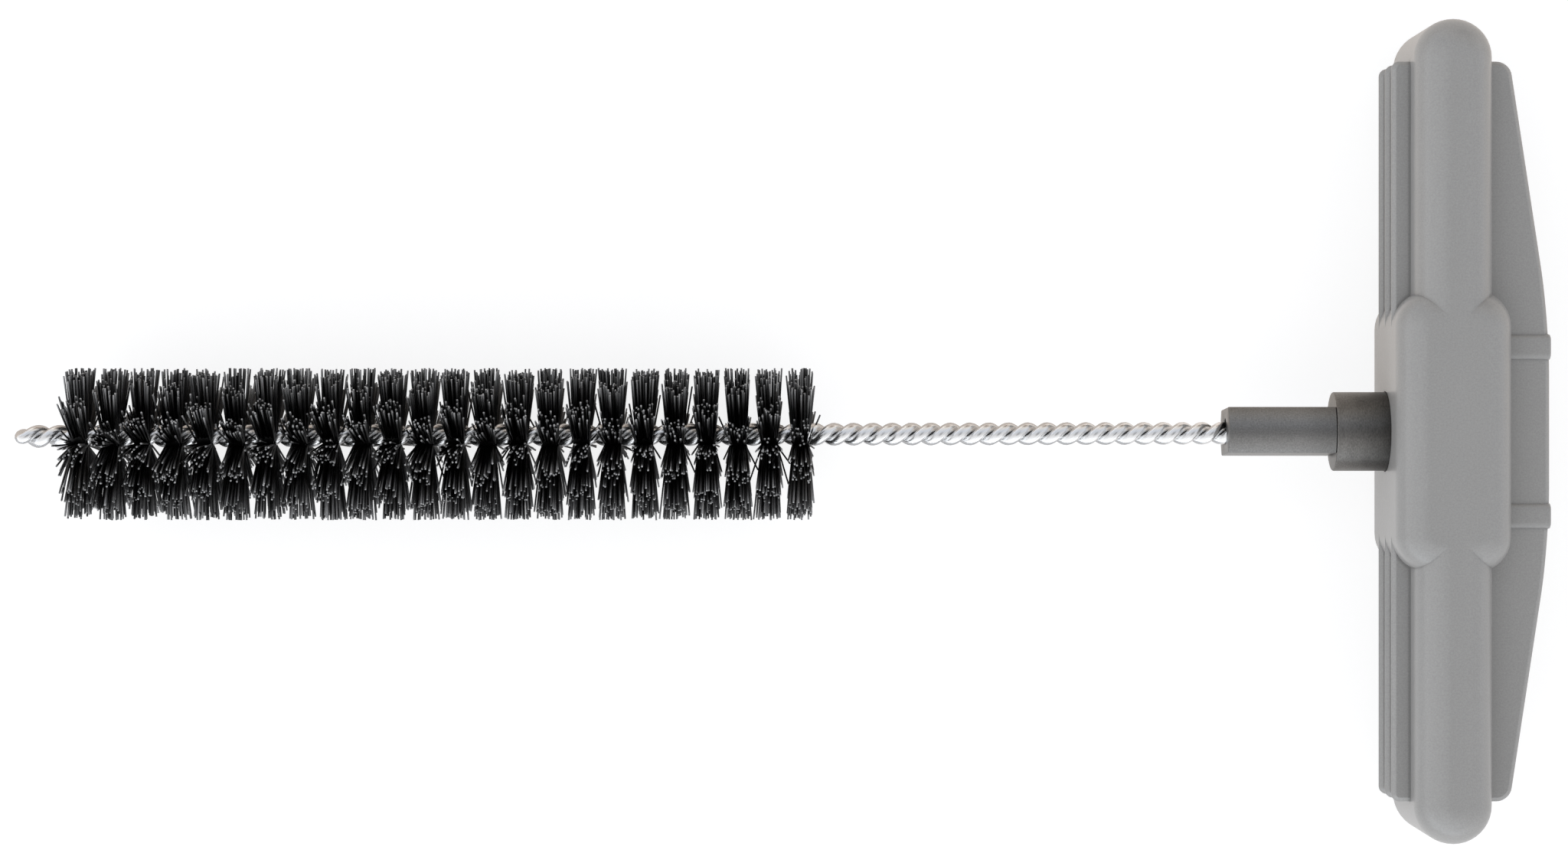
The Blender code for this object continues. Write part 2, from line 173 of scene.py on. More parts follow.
# %% The floor's material
FLOOR_GLOW = 0.76
FLOOR_SEEN = (0.38, 0.38, 0.38)
FLOOR_PAINT = (0.90, 0.875, 0.85)
WHITE = (1.0, 1.0, 1.0)
MIRRORED_TINT = (1.0, 0.965, 0.93)
MIRRORED_PAINTS = ((0.345, 0.355, 0.375), (0.42, 0.345, 0.285))
PAINT_CHANGE_Y = (-0.004, 0.004)
MIRRORED_GLOWS = (0.36, 0.84)
GLOW_CHANGE_X = (0.046, 0.056)

floor_material, tree, shader = new_material("table_white")
path = tree.nodes.new("ShaderNodeLightPath").outputs
camera_ray = path["Is Camera Ray"]
mirror_ray = maths(tree, "MAXIMUM", path["Is Glossy Ray"], path["Is Transmission Ray"])
place = components(tree, object_place(tree))
mirrored_glow = mapped(tree, place["X"], *GLOW_CHANGE_X, *MIRRORED_GLOWS)
glow = maths(tree, "MAXIMUM", camera_ray, maths(tree, "MULTIPLY", mirror_ray, mirrored_glow))
mirrored_paint = colour_mix(tree, mapped(tree, place["Y"], *PAINT_CHANGE_Y, 0, 1), *MIRRORED_PAINTS)
unseen = colour_mix(tree, mirror_ray, FLOOR_PAINT, mirrored_paint)
feed_all(tree, shader.inputs, {
    "Roughness": 0.9,
    "Specular IOR Level": 0.0,
    "Emission Strength": maths(tree, "MULTIPLY", glow, FLOOR_GLOW),
    "Emission Color": colour_mix(tree, camera_ray, MIRRORED_TINT, WHITE),
    "Base Color": colour_mix(tree, camera_ray, unseen, FLOOR_SEEN),
})
print("floor material ready")

# %% The floor
FLOOR_REACH = 3


def new_object(name, bm, materials=()):
    """Turns a bmesh into an object of the scene and frees it."""
    mesh = bpy.data.meshes.new(name)
    bm.to_mesh(mesh)
    bm.free()
    for material in materials:
        mesh.materials.append(material)
    obj = bpy.data.objects.new(name, mesh)
    bpy.context.scene.collection.objects.link(obj)
    return obj


floor_bm = bmesh.new()
bmesh.ops.create_grid(floor_bm, x_segments=1, y_segments=1, size=FLOOR_REACH)
floor = new_object("floor", floor_bm, [floor_material])
print("floor laid at Z = 0")

# %% [markdown]
# ## Light
# The picture was lit softly from all round: cooler and brighter from its bottom edge, warmer and
# dimmer from its top edge. A light tent does this when one of its walls is lit more than the others.
# The dark metal shows it as a bright band along one side and a brown one along the other.
# Each direction of the world gets its colour from two ramps. One runs from the lit wall of the tent to
# the dim one, by how far a direction points to it. The other runs from the horizon to the roof.
# A single sky texture would be quicker, but it couldn't put the two tints where the metal shows them.

# %% The tent's walls and roof
SKY_LEVEL = 1.20
DIM_SIDE = Vector((0.40, 0.917, 0.0))
WALL_STOPS = (
    (0.0, (1.22, 1.29, 1.37)),
    (0.2, (0.90, 0.905, 0.92)),
    (0.5, (0.61, 0.61, 0.62)),
    (0.72, (0.57, 0.61, 0.68)),
    (0.93, (0.72, 0.68, 0.63)),
    (1.0, (0.10, 0.06, 0.035)),
)
ROOF_STOPS = ((0.0, 2.2), (0.2, 1.1), (0.93, 1.0), (0.975, 0.55), (1.0, 0.4))


def ramp(tree, place, stops):
    """A colour ramp, read at a place from 0 to 1. Each stop is a position and a colour."""
    node = tree.nodes.new("ShaderNodeValToRGB")
    elements = node.color_ramp.elements
    while len(elements) < len(stops):
        elements.new(0.5)
    for element, (position, colour) in zip(elements, stops):
        element.position = position
        element.color = (*colour, 1)
    feed(tree, node.inputs["Fac"], place)
    return node.outputs["Color"]


def vector_maths(tree, operation, *values):
    """A Vector Math node. Each input is a socket to read or a vector."""
    node = tree.nodes.new("ShaderNodeVectorMath")
    node.operation = operation
    for socket, value in zip(node.inputs, values):
        feed(tree, socket, value)
    return node.outputs["Value" if operation == "DOT_PRODUCT" else "Vector"]


world = bpy.data.worlds.new("light_tent")
bpy.context.scene.world = world
world.use_nodes = True
tree = world.node_tree
direction = tree.nodes.new("ShaderNodeTexCoord").outputs["Generated"]
towards_dim_side = vector_maths(tree, "DOT_PRODUCT", direction, DIM_SIDE)
walls = ramp(tree, mapped(tree, towards_dim_side, -1, 1, 0, 1), WALL_STOPS)
roof = ramp(tree, components(tree, direction)["Z"],
            [(position, (level, level, level)) for position, level in ROOF_STOPS])
tent = vector_maths(tree, "MULTIPLY", walls, roof)
print(f"tent with {len(WALL_STOPS)} wall tones and {len(ROOF_STOPS)} roof tones")

# %% White for the camera
background = tree.nodes["Background"]
camera_ray = tree.nodes.new("ShaderNodeLightPath").outputs["Is Camera Ray"]
white_at_sky_level = tuple(part / SKY_LEVEL for part in WHITE)
feed_all(tree, background.inputs, {
    "Strength": SKY_LEVEL,
    "Color": colour_mix(tree, camera_ray, tent, white_at_sky_level),
})
print("the camera sees white where the floor ends")

# %% [markdown]
# ## Grain
# Every surface of this tool has a fine grain: the mould was spark eroded, and the steel was left as
# it came from the lathe and the oven. One node group makes all of them. It mixes a fine noise with a
# broad cloud and puts out a tone, which multiplies the colour, and a height for a bump.
# The scale is in grains per metre, because Object coordinates are in metres here.

# %% Helpers for node groups
def new_group(name, inputs, outputs):
    """A node group with its own ends. An input has a first value, or None if it is a vector."""
    group = bpy.data.node_groups.new(name, "ShaderNodeTree")
    for label, value in inputs.items():
        kind = "NodeSocketVector" if value is None else "NodeSocketFloat"
        socket = group.interface.new_socket(label, in_out="INPUT", socket_type=kind)
        if value is not None:
            socket.default_value = value
    for label in outputs:
        group.interface.new_socket(label, in_out="OUTPUT", socket_type="NodeSocketFloat")
    return group, group.nodes.new("NodeGroupInput").outputs, group.nodes.new("NodeGroupOutput").inputs


def place_group(tree, group, values):
    """Puts a group in a material, with values in the order of its inputs."""
    node = tree.nodes.new("ShaderNodeGroup")
    node.node_tree = group
    for socket, value in zip(node.inputs, values):
        feed(tree, socket, value)
    return node.outputs


def noise(tree, place, scale, detail):
    node = tree.nodes.new("ShaderNodeTexNoise")
    feed_all(tree, node.inputs, {"Vector": place, "Scale": scale, "Detail": detail})
    return node.outputs["Fac"]


print("helpers ready")

# %% The grain group
FINE_DETAIL, CLOUD_DETAIL = 3, 2

grain, given, made = new_group("grain", {
    "Vector": None,
    "Grain Scale": 6000,
    "Cloud Scale": 120,
    "Grain Tone": 0.1,
    "Cloud Tone": 0.04,
}, ("Tone", "Height"))


def centred(value, amount):
    """A noise about zero, times an amount."""
    return maths(grain, "MULTIPLY", maths(grain, "SUBTRACT", value, 0.5), amount)


fine = noise(grain, given["Vector"], given["Grain Scale"], FINE_DETAIL)
cloud = noise(grain, given["Vector"], given["Cloud Scale"], CLOUD_DETAIL)
change = maths(grain, "ADD", centred(fine, given["Grain Tone"]), centred(cloud, given["Cloud Tone"]))
feed(grain, made["Tone"], maths(grain, "ADD", change, 1.0))
feed(grain, made["Height"], fine)
print("grain group: tone and height")

# %% [markdown]
# ## Painted shade towards a joint
# The boss and the collar shade the metal where it runs into the handle, and this shade is painted
# into the colour: both metal pieces get darker towards it.
# A second small group gives a tone that falls between two places along the tool.

# %% The painted joint shade group
painted_joint_shade, given, made = new_group("painted_joint_shade", {
    "Vector": None,
    "Start": 0.0,
    "End": 0.01,
    "Unshaded Tone": 1.0,
    "Shaded Tone": 0.5,
}, ("Tone",))
along_tool = components(painted_joint_shade, given["Vector"])["X"]
ends = [given[label] for label in ("Start", "End", "Unshaded Tone", "Shaded Tone")]
# Painted shade: the tone falls from unshaded to shaded between the two places.
feed(painted_joint_shade, made["Tone"], mapped(painted_joint_shade, along_tool, *ends))
print("grime group ready")

# %% [markdown]
# ## Shelter
# Narrow inner corners of a moulding and crowded bristles look darker than soft light alone makes them.
# A third group measures with an ambient occlusion node how shut in a point is, up to some distance,
# and turns that into a tone, which paints that shade into a colour.

# %% The shelter group
SHELTER_SAMPLES = 8

shelter, given, made = new_group("shelter", {
    "Distance": 0.001,
    "Shut": 0.2,
    "Open": 0.9,
    "Shut Tone": 0.5,
    "Open Tone": 1.0,
}, ("Tone",))
openness = shelter.nodes.new("ShaderNodeAmbientOcclusion")
openness.samples = SHELTER_SAMPLES
feed(shelter, openness.inputs["Distance"], given["Distance"])
ends = [given[label] for label in ("Shut", "Open", "Shut Tone", "Open Tone")]
# Painted shade: a shut-in point gets a darker tone.
feed(shelter, made["Tone"], mapped(shelter, openness.outputs["AO"], *ends))
print("shelter group ready")

# %% [markdown]
# ## Placing the grain and the painted shade
# Plastic and steel differ in colour, gloss and in how coarse and how stretched the grain is. This
# helper sets up one material with the groups in it. The stretch is a Mapping node's scale: a turned
# bar has marks that run round it, so its grain is squeezed along the bar.

# %% A helper for grained materials
def grained_material(name, colour, roughness, metallic, stretch, grains, bump, joint_shade=None, creases=None):
    """grains, the joint shade and the creases hold the numbers of the three groups, in the order of
    their inputs; the last two are painted shade.
    """
    material, tree, shader = new_material(name)
    place = object_place(tree)
    mapping = tree.nodes.new("ShaderNodeMapping")
    feed_all(tree, mapping.inputs, {"Vector": place, "Scale": stretch})
    texture = place_group(tree, grain, (mapping.outputs["Vector"], *grains))
    tone = texture["Tone"]
    # Painted shade: darker towards the joint with the handle.
    if joint_shade:
        tone = maths(tree, "MULTIPLY", tone, place_group(tree, painted_joint_shade, (place, *joint_shade))["Tone"])
    # Painted shade in narrow inner corners.
    if creases:
        tone = maths(tree, "MULTIPLY", tone, place_group(tree, shelter, creases)["Tone"])
    tint = tree.nodes.new("ShaderNodeVectorMath")
    tint.operation = "SCALE"
    feed_all(tree, tint.inputs, {"Vector": colour, "Scale": tone})
    relief = tree.nodes.new("ShaderNodeBump")
    feed_all(tree, relief.inputs, {"Distance": bump, "Height": texture["Height"]})
    feed_all(tree, shader.inputs, {
        "Base Color": tint.outputs["Vector"],
        "Roughness": roughness,
        "Metallic": metallic,
        "Normal": relief.outputs["Normal"],
    })
    return material


print("helper ready")

# %% [markdown]
# ## Handle plastic
# The handle is a mid grey, faintly warm plastic with a matt skin. It could have a plain colour, but a
# real moulding shows tiny specks of light and dark under a soft lamp, so it gets a fine even grain and
# a very weak cloud. It is the one piece with creases: painted shade darkens the thin lines between bar
# and boss.

# %% Handle plastic
handle_plastic = grained_material(
    "handle_plastic", (0.335, 0.330, 0.321), roughness=0.29, metallic=0.0,
    stretch=(1, 1, 1), grains=(4600, 150, 0.40, 0.04), bump=0.000012,
    # Painted shade in the creases between bar and boss.
    creases=(0.0005, 0.78, 0.96, 0.74, 1.0),
)
print("handle plastic ready")

# %% [markdown]
# ## Steel of the ferrule and the collar
# Both are turned steel, darkened by phosphating: a dull metal with a sandy speckle. The collar is a
# shade darker and its marks run round it. Both get painted shade towards the handle, where the boss
# and the collar shade them, and on the collar it is stronger. A rough metal still mirrors its
# surroundings softly, which gives the bright band along the ferrule's lower side.

# %% Dark steel
ferrule_steel = grained_material(
    "ferrule_steel", (0.225, 0.221, 0.214), roughness=0.38, metallic=1.0,
    stretch=(1, 1, 1), grains=(5200, 260, 0.85, 0.10), bump=0.00001,
    # Painted shade, darker towards the handle.
    joint_shade=(0.0675, 0.0725, 1.0, 0.72),
)
collar_steel = grained_material(
    "collar_steel", (0.160, 0.154, 0.146), roughness=0.37, metallic=1.0,
    stretch=(1.6, 0.7, 0.7), grains=(4600, 330, 1.1, 0.35), bump=0.00001,
    # Painted shade, darker towards the handle, stronger than on the ferrule.
    joint_shade=(0.0735, 0.0795, 1.06, 0.42),
)
print("ferrule and collar steel ready")

# %% [markdown]
# ## From a bmesh to a finished piece
# Each piece is shaped in a bmesh, which is Blender's mesh with editing operators. This helper merges
# doubles, turns the faces outwards, makes the object and hands it to the frame: it rides on the tool's
# one body, it stands for its CAD nodes, and it takes its finish from a named slot.

# %% A helper that finishes a piece
MERGE = 0.000002
FLAT_FACE_WEIGHT = 75


def clean(bm):
    """Merges what lies in one place and turns all faces outwards."""
    bmesh.ops.remove_doubles(bm, verts=bm.verts, dist=MERGE)
    bmesh.ops.recalc_face_normals(bm, faces=bm.faces)


def finish_piece(name, bm, materials, nodes):
    clean(bm)
    piece = new_object(name, bm, materials)
    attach(piece, "root")
    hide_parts(*nodes)
    return piece


def smooth_faces(piece, degrees):
    """Smooth shading with sharp edges past an angle."""
    piece.data.shade_smooth()
    piece.data.set_sharp_from_angle(angle=math.radians(degrees))


def smooth_piece(piece, degrees):
    """The same, but large flat faces keep their own normal."""
    smooth_faces(piece, degrees)
    weighted = piece.modifiers.new("flat_faces_first", "WEIGHTED_NORMAL")
    weighted.keep_sharp = True
    weighted.weight = FLAT_FACE_WEIGHT


print("helpers ready")

# %% [markdown]
# ## Handle, part one: slabs with rounded edges
# The real handle is one moulding, but its shape is a few slabs that run into each other: the grip bar,
# the boss round the socket, three fins and two ribs. A slab is drawn as a flat face, its corners are
# rounded in plan, it is extruded, and then the rim on both sides is rounded.
# Two bevels at the right moment do this. Rounding all at once would give every edge the same radius.

# %% A rounded slab
ROUND_PROFILE = 0.5
LEVEL, UPRIGHT = 0.9, 0.1


def corner_angle(vert):
    """How far the outline turns at one of its corners."""
    one, two = (edge.other_vert(vert).co - vert.co for edge in vert.link_edges)
    return math.pi - one.angle(two)


def bevel(bm, parts, affect, offset, segments, profile=ROUND_PROFILE):
    bmesh.ops.bevel(bm, geom=parts, affect=affect, offset=offset, segments=segments, profile=profile,
                    offset_type="OFFSET", material=-1)


def rounded_slab(corners, thickness, middle_z, rim, rim_segments, rim_profile=ROUND_PROFILE):
    """corners holds (x, y, radius, segments) in order round the outline."""
    bm = bmesh.new()
    outline = [bm.verts.new((x, y, middle_z - thickness / 2)) for x, y, radius, segments in corners]
    bm.faces.new(outline)
    for vert, (x, y, radius, segments) in zip(outline, corners):
        bevel(bm, [vert], "VERTICES", radius * math.tan(corner_angle(vert) / 2), segments)
    bmesh.ops.remove_doubles(bm, verts=bm.verts, dist=MERGE)
    lifted = bmesh.ops.extrude_face_region(bm, geom=bm.faces[:])["geom"]
    top = [item for item in lifted if isinstance(item, bmesh.types.BMVert)]
    bmesh.ops.translate(bm, vec=(0, 0, thickness), verts=top)
    bmesh.ops.recalc_face_normals(bm, faces=bm.faces)
    rims = [edge for edge in bm.edges
            if any(abs(face.normal.z) > LEVEL for face in edge.link_faces)
            and any(abs(face.normal.z) < UPRIGHT for face in edge.link_faces)]
    bevel(bm, rims, "EDGES", rim, rim_segments, rim_profile)
    clean(bm)
    return bm


print("a slab can be made")

# %% [markdown]
# ## Handle, part two: the bar and the boss
# Sizes come from the frame. The bar is 10 mm wide, 106 mm long and 24.8 mm deep, and its ends are
# half round. Its rim is rounded so far that almost no flat is left, which is what a palm wants.
# The boss crosses it with a rim rounding of nearly the same size, so where the two meet the surfaces
# cut each other in soft mitre lines, as in the photograph.

# %% Bar and boss
BAR_X, BAR_WIDTH, BAR_LENGTH, BAR_THICKNESS, BAR_EDGE = 0.086635, 0.0100, 0.1060, 0.0248, 0.0046
BOSS_X, BOSS_DEPTH, BOSS_LENGTH, BOSS_CORNER, BOSS_EDGE = 0.079235, 0.0148, 0.0362, 0.0046, 0.0042
ROUND_STEPS = 10

half_width = BAR_WIDTH / 2
half_length = BAR_LENGTH / 2
bar_bm = rounded_slab(
    [(BAR_X + side * half_width, end * half_length, half_width, ROUND_STEPS)
     for side, end in ((1, -1), (1, 1), (-1, 1), (-1, -1))],
    BAR_THICKNESS, AXIS_Z, BAR_EDGE, ROUND_STEPS,
)
bar = new_object("bar_form", bar_bm)

boss_bm = rounded_slab(
    [(BOSS_X + x, end * BOSS_LENGTH / 2, BOSS_CORNER, ROUND_STEPS)
     for x, end in ((BOSS_DEPTH, -1), (BOSS_DEPTH, 1), (0, 1), (0, -1))],
    BAR_THICKNESS, AXIS_Z, BOSS_EDGE, ROUND_STEPS,
)
boss = new_object("boss_form", boss_bm)
print(f"bar {len(bar.data.polygons)} faces, boss {len(boss.data.polygons)} faces")

# %% [markdown]
# ## Handle, part three: fins and ribs
# Three thin fins run along the bar. On the brush side they stand proud of it by a few millimetres,
# and on the palm side they widen into a wing with a slow bend at two knees. They keep the moulding
# light and stiff. Two ribs tie the fins together beside the boss.
# The knee is a very large radius on a very flat corner, and the same helper rounds it. The fins' rims
# are flatter than a round edge, almost a chamfer, and so each fin is outlined by a thin line of light.

# %% Fins
FIN_SPACING, FIN_THICKNESS, FIN_LENGTH = 0.0050, 0.00135, 0.0956
FIN_FRONT_CORNER, FIN_PALM_CORNER = 0.0010, 0.0020
FRONT_STEPS, PALM_STEPS, KNEE_STEPS = 6, 8, 10
FIN_EDGE, FIN_EDGE_STEPS, FIN_EDGE_PROFILE = 0.00055, 4, 0.32
WING_REACH, WING_END_REACH, WING_KNEE, WING_BLEND = 0.0130, 0.0079, 0.0143, 0.0900

palm = BAR_X + WING_REACH
wing_end = BAR_X + WING_END_REACH
fin_corners = [
    (BOSS_X, -FIN_LENGTH / 2, FIN_FRONT_CORNER, FRONT_STEPS),
    (wing_end, -FIN_LENGTH / 2, FIN_PALM_CORNER, PALM_STEPS),
    (palm, -WING_KNEE, WING_BLEND, KNEE_STEPS),
    (palm, WING_KNEE, WING_BLEND, KNEE_STEPS),
    (wing_end, FIN_LENGTH / 2, FIN_PALM_CORNER, PALM_STEPS),
    (BOSS_X, FIN_LENGTH / 2, FIN_FRONT_CORNER, FRONT_STEPS),
]
fins = []
for number in (-1, 0, 1):
    fin_bm = rounded_slab(fin_corners, FIN_THICKNESS, AXIS_Z + number * FIN_SPACING,
                          FIN_EDGE, FIN_EDGE_STEPS, FIN_EDGE_PROFILE)
    fins.append(new_object(f"fin_form_{number + 2}", fin_bm))
print(f"{len(fins)} fins, wing {WING_REACH * 1000:.1f} mm behind the bar's middle")

# %% Ribs
RIB_OFFSET, RIB_THICKNESS, RIB_PROUD, RIB_OVERHANG = 0.0109, 0.0034, 0.00045, 0.0001
RIB_EDGE, RIB_EDGE_STEPS = 0.0009, 6
RIB_END_EDGE, RIB_END_STEPS = 0.0003, 2
rib_half_height = FIN_SPACING + FIN_THICKNESS / 2 + RIB_PROUD


def along_x(bm, place_x):
    """Turns a shape made round Z so that it lies round the tool's axis."""
    turn = Matrix.Translation((place_x, 0, AXIS_Z)) @ Matrix.Rotation(math.pi / 2, 4, "Y")
    bmesh.ops.transform(bm, matrix=turn, verts=bm.verts)


def rib_form(side):
    low, high = side * RIB_OFFSET - RIB_THICKNESS / 2, side * RIB_OFFSET + RIB_THICKNESS / 2
    end = palm + RIB_OVERHANG
    corners = [(x * rib_half_height, y, RIB_EDGE, RIB_EDGE_STEPS)
               for x, y in ((-1, low), (1, low), (1, high), (-1, high))]
    rib_bm = rounded_slab(corners, end - BAR_X, 0, RIB_END_EDGE, RIB_END_STEPS)
    along_x(rib_bm, (BAR_X + end) / 2)
    return new_object(f"rib_form_{side + 2}", rib_bm)


ribs = [rib_form(-1), rib_form(1)]
print("2 ribs")

# %% [markdown]
# ## Handle, part four: one moulding with its socket
# A Boolean modifier joins the forms into one closed skin. The alternative, leaving them pushed into
# each other, looks the same from afar, but then the socket could not be cut through all of them.
# The socket is a round hole for the collar, with a tenth of a millimetre of room.

# %% Join the forms and cut the socket
COLLAR_DIAMETER, COLLAR_SEATED = 0.0103, 0.0045
SOCKET_ROOM, SOCKET_END_ROOM, SOCKET_SIDES = 0.0001, 0.0003, 96
COPLANAR_DEGREES, HANDLE_SHARP_DEGREES = 0.4, 17


def add_boolean(obj, other, operation):
    modifier = obj.modifiers.new(other.name, "BOOLEAN")
    modifier.operation = operation
    modifier.object = other
    modifier.solver = "EXACT"


socket_bm = bmesh.new()
socket_radius = COLLAR_DIAMETER / 2 + SOCKET_ROOM
socket_depth = COLLAR_SEATED + SOCKET_END_ROOM
bmesh.ops.create_cone(socket_bm, cap_ends=True, segments=SOCKET_SIDES, radius1=socket_radius,
                      radius2=socket_radius, depth=2 * socket_depth)
along_x(socket_bm, BOSS_X)
socket = new_object("socket_form", socket_bm)

for form in (boss, *fins, *ribs):
    add_boolean(bar, form, "UNION")
add_boolean(bar, socket, "DIFFERENCE")
bpy.context.view_layer.update()
moulding = bpy.data.meshes.new_from_object(bar.evaluated_get(bpy.context.evaluated_depsgraph_get()))
for form in (bar, boss, *fins, *ribs, socket):
    bpy.data.objects.remove(form, do_unlink=True)

handle_bm = bmesh.new()
handle_bm.from_mesh(moulding)
bmesh.ops.remove_doubles(handle_bm, verts=handle_bm.verts, dist=MERGE)
bmesh.ops.dissolve_limit(handle_bm, angle_limit=math.radians(COPLANAR_DEGREES),
                         verts=handle_bm.verts, edges=handle_bm.edges)
open_edges = sum(not edge.is_manifold for edge in handle_bm.edges)
handle = finish_piece("handle_moulding", handle_bm, [handle_plastic], ["handle"])
smooth_piece(handle, HANDLE_SHARP_DEGREES)
print(f"handle: {len(handle.data.polygons)} faces, {open_edges} open edges")

# %% [markdown]
# ## Ferrule
# The ferrule is a turned bar, bored for the wire, with two flats that let a spanner hold it while the
# wire is crimped. Turning is a spin: a profile of a few points goes round the axis once. The flats are
# cut with a plane that removes what lies outside it, and the hole that this leaves is filled again.
# A Boolean could cut them too, but a plane cut keeps clean faces.

# %% A turned form
TURNED_STEPS = 128
SHARP_DEGREES, TURNED_SHARP_DEGREES = 30, 24


def turned(profile):
    """Spins (x, radius) points round the tool's axis."""
    bm = bmesh.new()
    verts = [bm.verts.new((x, 0, AXIS_Z + radius)) for x, radius in profile]
    edges = [bm.edges.new(pair) for pair in zip(verts, verts[1:])]
    bmesh.ops.spin(bm, geom=verts + edges, cent=(0, 0, AXIS_Z), axis=(1, 0, 0), angle=2 * math.pi,
                   steps=TURNED_STEPS, use_merge=True)
    clean(bm)
    return bm


def cut_flat(bm, side, distance, turn):
    """Cuts a flat this far from the axis and closes it."""
    outwards = Matrix.Rotation(-turn, 3, "X") @ Vector((0, side, 0))
    cut = bmesh.ops.bisect_plane(
        bm, geom=bm.verts[:] + bm.edges[:] + bm.faces[:], dist=MERGE / 2,
        plane_co=Vector((0, 0, AXIS_Z)) + outwards * distance, plane_no=outwards, clear_outer=True,
    )["geom_cut"]
    rim = [item for item in cut if isinstance(item, bmesh.types.BMEdge)]
    bmesh.ops.edgeloop_fill(bm, edges=rim)


def soften_edges(bm, width, segments):
    sharp = [edge for edge in bm.edges
             if len(edge.link_faces) == 2 and edge.calc_face_angle() > math.radians(SHARP_DEGREES)]
    bevel(bm, sharp, "EDGES", width, segments)


print("a turned form can be made")

# %% The ferrule
FERRULE_X, COLLAR_X = 0.058335, 0.072335
FERRULE_DIAMETER, FLAT_WIDTH, NECK_DIAMETER = 0.0098, 0.0060, 0.0052
FLAT_TURN = math.radians(3)
COLLAR_END_X, TAIL_REACH, COLLAR_GAP = BOSS_X + COLLAR_SEATED, 0.0070, 0.00002
BORE_DIAMETER, BORE_DEPTH = 0.0034, 0.0083
FERRULE_EDGE, FERRULE_EDGE_STEPS = 0.00012, 2

ferrule_bm = turned([
    (FERRULE_X + BORE_DEPTH, 0),
    (FERRULE_X + BORE_DEPTH, BORE_DIAMETER / 2),
    (FERRULE_X, BORE_DIAMETER / 2),
    (FERRULE_X, FERRULE_DIAMETER / 2),
    (COLLAR_X - COLLAR_GAP, FERRULE_DIAMETER / 2),
    (COLLAR_X - COLLAR_GAP, NECK_DIAMETER / 2),
    (COLLAR_END_X + TAIL_REACH, NECK_DIAMETER / 2),
    (COLLAR_END_X + TAIL_REACH, 0),
])
for side in (-1, 1):
    cut_flat(ferrule_bm, side, FLAT_WIDTH / 2, FLAT_TURN)
soften_edges(ferrule_bm, FERRULE_EDGE, FERRULE_EDGE_STEPS)
ferrule = finish_piece("ferrule_turned", ferrule_bm, [ferrule_steel], ["ferrule"])
smooth_piece(ferrule, TURNED_SHARP_DEGREES)
print(f"ferrule: {len(ferrule.data.polygons)} faces")

# %% [markdown]
# ## Collar
# A plain sleeve hides the joint between the ferrule and the handle. It is the same kind of spin, with
# a ring for a profile. Its edges are broken by a fifth of a millimetre, so that they catch a thin
# line of light.

# %% The collar
COLLAR_EDGE, COLLAR_EDGE_STEPS = 0.0002, 3

collar_bm = turned([
    (COLLAR_X, NECK_DIAMETER / 2),
    (COLLAR_X, COLLAR_DIAMETER / 2),
    (COLLAR_END_X, COLLAR_DIAMETER / 2),
    (COLLAR_END_X, NECK_DIAMETER / 2),
    (COLLAR_X, NECK_DIAMETER / 2),
])
soften_edges(collar_bm, COLLAR_EDGE, COLLAR_EDGE_STEPS)
collar = finish_piece("collar_sleeve", collar_bm, [collar_steel], ["collar"])
smooth_piece(collar, TURNED_SHARP_DEGREES)
print(f"collar: {len(collar.data.polygons)} faces")

# %% [markdown]
# ## Twisted wire
# One steel wire of 1.5 mm is bent in the middle like a hairpin, the bristles are laid in it, and the
# two legs are twisted until they grip. The twist is a little tighter on the bare part.
# A spin that also slides along its axis would make one helix, but here the lead changes, the stem
# droops a little and both legs run into one bend. So a ring of points walks along the real route:
# at each step its edges are extruded, and the new ring is moved and turned to the next place.

# %% The route of the wire
TIP_X, FIRST_ROW_X, LAST_ROW_X = -0.099735, -0.091135, 0.002935
WIRE_DIAMETER, STRAND_RADIUS = 0.0015, 0.00075
BARE_LEAD, BRUSH_LEAD, BARE_PHASE = 0.005056, 0.005488, math.radians(139.3)
FADE_START_X, TWIST_FADE = TIP_X + 0.0021, 0.0015
BEND_X = TIP_X + WIRE_DIAMETER
STEPS_PER_LEAD, BEND_STEPS = 18, 12
WIRE_TAIL = 0.0080
DROP_AT_FERRULE, DROP_AT_TIP = 0.00022, 0.00065


def stem_y(x):
    share = (FERRULE_X - x) / (FERRULE_X - TIP_X)
    return -(DROP_AT_FERRULE + (DROP_AT_TIP - DROP_AT_FERRULE) * share)


def twist_angle(x):
    lead = BARE_LEAD if x >= LAST_ROW_X else BRUSH_LEAD
    turns = (x - LAST_ROW_X) / lead
    into_fade = FADE_START_X - x
    if into_fade > 0:
        turns += into_fade ** 2 / (2 * TWIST_FADE * BRUSH_LEAD)
    return BARE_PHASE + 2 * math.pi * turns


def strand_point(x, radius):
    angle = twist_angle(x)
    return Vector((x, stem_y(x) + radius * math.sin(angle), AXIS_Z + radius * math.cos(angle)))


tail_x = FERRULE_X + WIRE_TAIL
run_steps = round((tail_x - BEND_X) / BARE_LEAD * STEPS_PER_LEAD)
run = [BEND_X + (tail_x - BEND_X) * step / run_steps for step in range(run_steps + 1)]
out = [strand_point(x, STRAND_RADIUS) for x in reversed(run)]
bend = [
    strand_point(BEND_X - STRAND_RADIUS * math.sin(swing), STRAND_RADIUS * math.cos(swing))
    for swing in (math.pi * step / BEND_STEPS for step in range(1, BEND_STEPS))
]
back = [strand_point(x, -STRAND_RADIUS) for x in run]
route = out + bend + back
route_length = sum((b - a).length for a, b in zip(route, route[1:]))
print(f"wire route: {len(route)} points, {route_length * 1000:.0f} mm")

# %% Walk a ring along the route
WIRE_SIDES = 14

